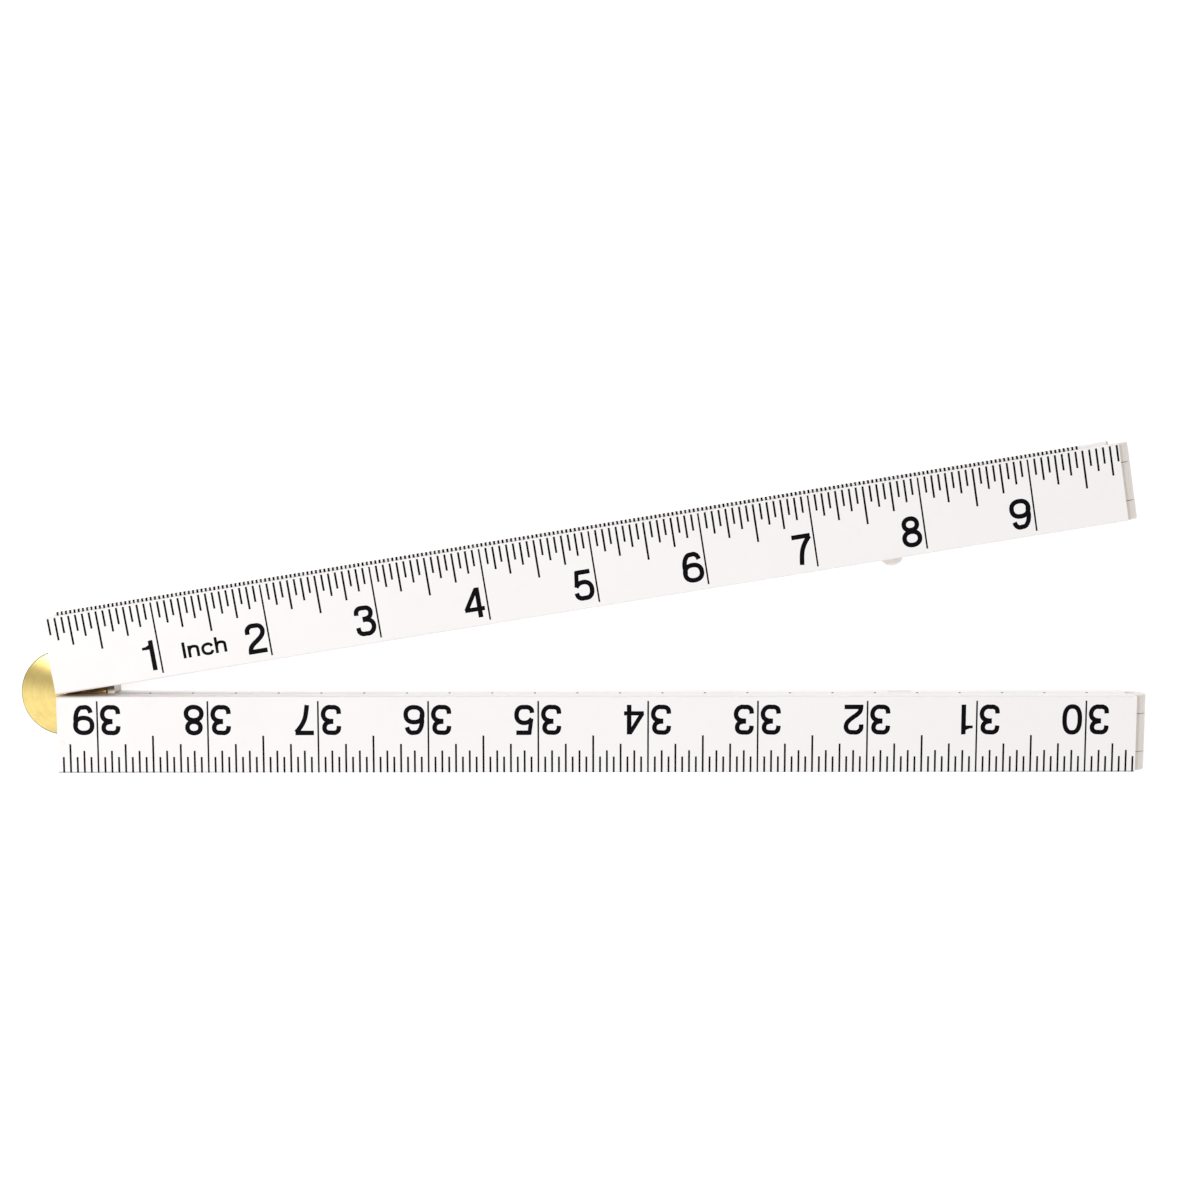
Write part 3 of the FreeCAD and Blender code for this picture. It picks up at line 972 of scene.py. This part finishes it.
class RULE_OT_stage(bpy.types.Operator):
    """Set the pale floor, the soft lights and the camera"""
    bl_idname = "folding_rule.stage"
    bl_label = "Stage"

    def execute(self, context):
        stage = context.scene.rule_stage
        scene = context.scene
        scene.view_settings.view_transform = 'Standard'
        world = bpy.data.worlds.new("studio")
        world.use_nodes = True
        tree = world.node_tree
        place = tree.nodes.new("ShaderNodeTexCoord")
        height = tree.nodes.new("ShaderNodeSeparateXYZ")
        tree.links.new(place.outputs["Generated"], height.inputs["Vector"])
        ramp = tree.nodes.new("ShaderNodeValToRGB")
        edge, top = ramp.color_ramp.elements
        edge.position, edge.color = 0.0, (stage.horizon, stage.horizon, stage.horizon, 1)
        top.position, top.color = 0.75, (1, 1, 1, 1)
        tree.links.new(height.outputs["Z"], ramp.inputs["Fac"])
        # a soft-edged dark cone in the sky, for the dark band on the turned brass
        toward_flag = tree.nodes.new("ShaderNodeVectorMath")
        toward_flag.operation = 'DOT_PRODUCT'
        tree.links.new(place.outputs["Generated"], toward_flag.inputs[0])
        flag_direction = Vector((-0.57, 0.0, 0.82))
        toward_flag.inputs[1].default_value = flag_direction.normalized()
        flag = tree.nodes.new("ShaderNodeMapRange")
        flag.interpolation_type = 'SMOOTHSTEP'
        soft_edge, full_dark = math.radians(33), math.radians(19)
        flag.inputs["From Min"].default_value = math.cos(soft_edge)
        flag.inputs["From Max"].default_value = math.cos(full_dark)
        flag.inputs["To Min"].default_value = stage.sky_strength
        flag.inputs["To Max"].default_value = stage.sky_strength * (1 - stage.flag_depth)
        tree.links.new(toward_flag.outputs["Value"], flag.inputs["Value"])
        background = tree.nodes["Background"]
        tree.links.new(ramp.outputs["Color"], background.inputs["Color"])
        tree.links.new(flag.outputs["Result"], background.inputs["Strength"])
        scene.world = world

        data = bpy.data.meshes.new("floor")
        shape = bmesh.new()
        half_width = 12.0
        bmesh.ops.create_grid(shape, x_segments=8, y_segments=8, size=half_width)
        shape.to_mesh(data)
        shape.free()
        floor = bpy.data.objects.new("floor", data)
        below_legs = 0.03 * MM
        floor.location = (0.1, 0.0, -below_legs)
        scene.collection.objects.link(floor)
        data.materials.append(studio_floor("floor_sheet", tuple(stage.floor_colour), stage.floor_glow))

        for name, power, size, place in (
                ("key_light", stage.key_power, 0.22, (-1.06, 0.295, 1.668)),
                ("fill_light", stage.fill_power, 1.0, (-1.46, -0.50, 1.28))):
            light = bpy.data.lights.new(name, 'AREA')
            light.shape = 'SQUARE'
            light.size = size
            light.energy = power
            lamp = bpy.data.objects.new(name, light)
            lamp.location = place
            lamp.rotation_euler = (-Vector(place)).to_track_quat('-Z', 'Y').to_euler()
            scene.collection.objects.link(lamp)

        lens = bpy.data.cameras.new("camera")
        lens.lens = stage.camera_lens
        lens.clip_start = 0.005
        camera = bpy.data.objects.new("camera", lens)
        turn = Euler((stage.camera_tilt, stage.camera_lean, stage.camera_turn), 'XYZ')
        camera.matrix_world = (Matrix.Translation(stage.camera_place)
                               @ turn.to_matrix().transposed().to_4x4())
        scene.collection.objects.link(camera)
        scene.camera = camera
        return {'FINISHED'}


OPERATORS = (RULE_OT_legs, RULE_OT_gate_mark, RULE_OT_brass_joint, RULE_OT_knuckle_pins,
             RULE_OT_closing_tab, RULE_OT_inch_scale, RULE_OT_metric_scale,
             RULE_OT_unit_words, RULE_OT_stage)


class RULE_PT_panel(bpy.types.Panel):
    """The rule's pieces, sizes and colours"""
    bl_idname = "RULE_PT_panel"
    bl_label = "Folding Rule"
    bl_space_type = 'VIEW_3D'
    bl_region_type = 'UI'
    bl_category = "Folding Rule"

    def draw(self, context):
        for operator in OPERATORS:
            self.layout.operator(operator.bl_idname)
        for group in (context.scene.rule_scale, context.scene.rule_finish,
                      context.scene.rule_stage):
            column = self.layout.box().column()
            for name in group.__annotations__:
                column.prop(group, name)


CLASSES = (ScaleSettings, FinishSettings, StageSettings) + OPERATORS + (RULE_PT_panel,)


def register():
    for item in CLASSES:
        bpy.utils.register_class(item)
    bpy.types.Scene.rule_scale = bpy.props.PointerProperty(type=ScaleSettings)
    bpy.types.Scene.rule_finish = bpy.props.PointerProperty(type=FinishSettings)
    bpy.types.Scene.rule_stage = bpy.props.PointerProperty(type=StageSettings)


def unregister():
    del bpy.types.Scene.rule_scale
    del bpy.types.Scene.rule_finish
    del bpy.types.Scene.rule_stage
    for item in reversed(CLASSES):
        bpy.utils.unregister_class(item)


def main():
    register()
    for operator in OPERATORS:
        group, name = operator.bl_idname.split(".")
        getattr(getattr(bpy.ops, group), name)()


if __name__ == "__main__":
    main()
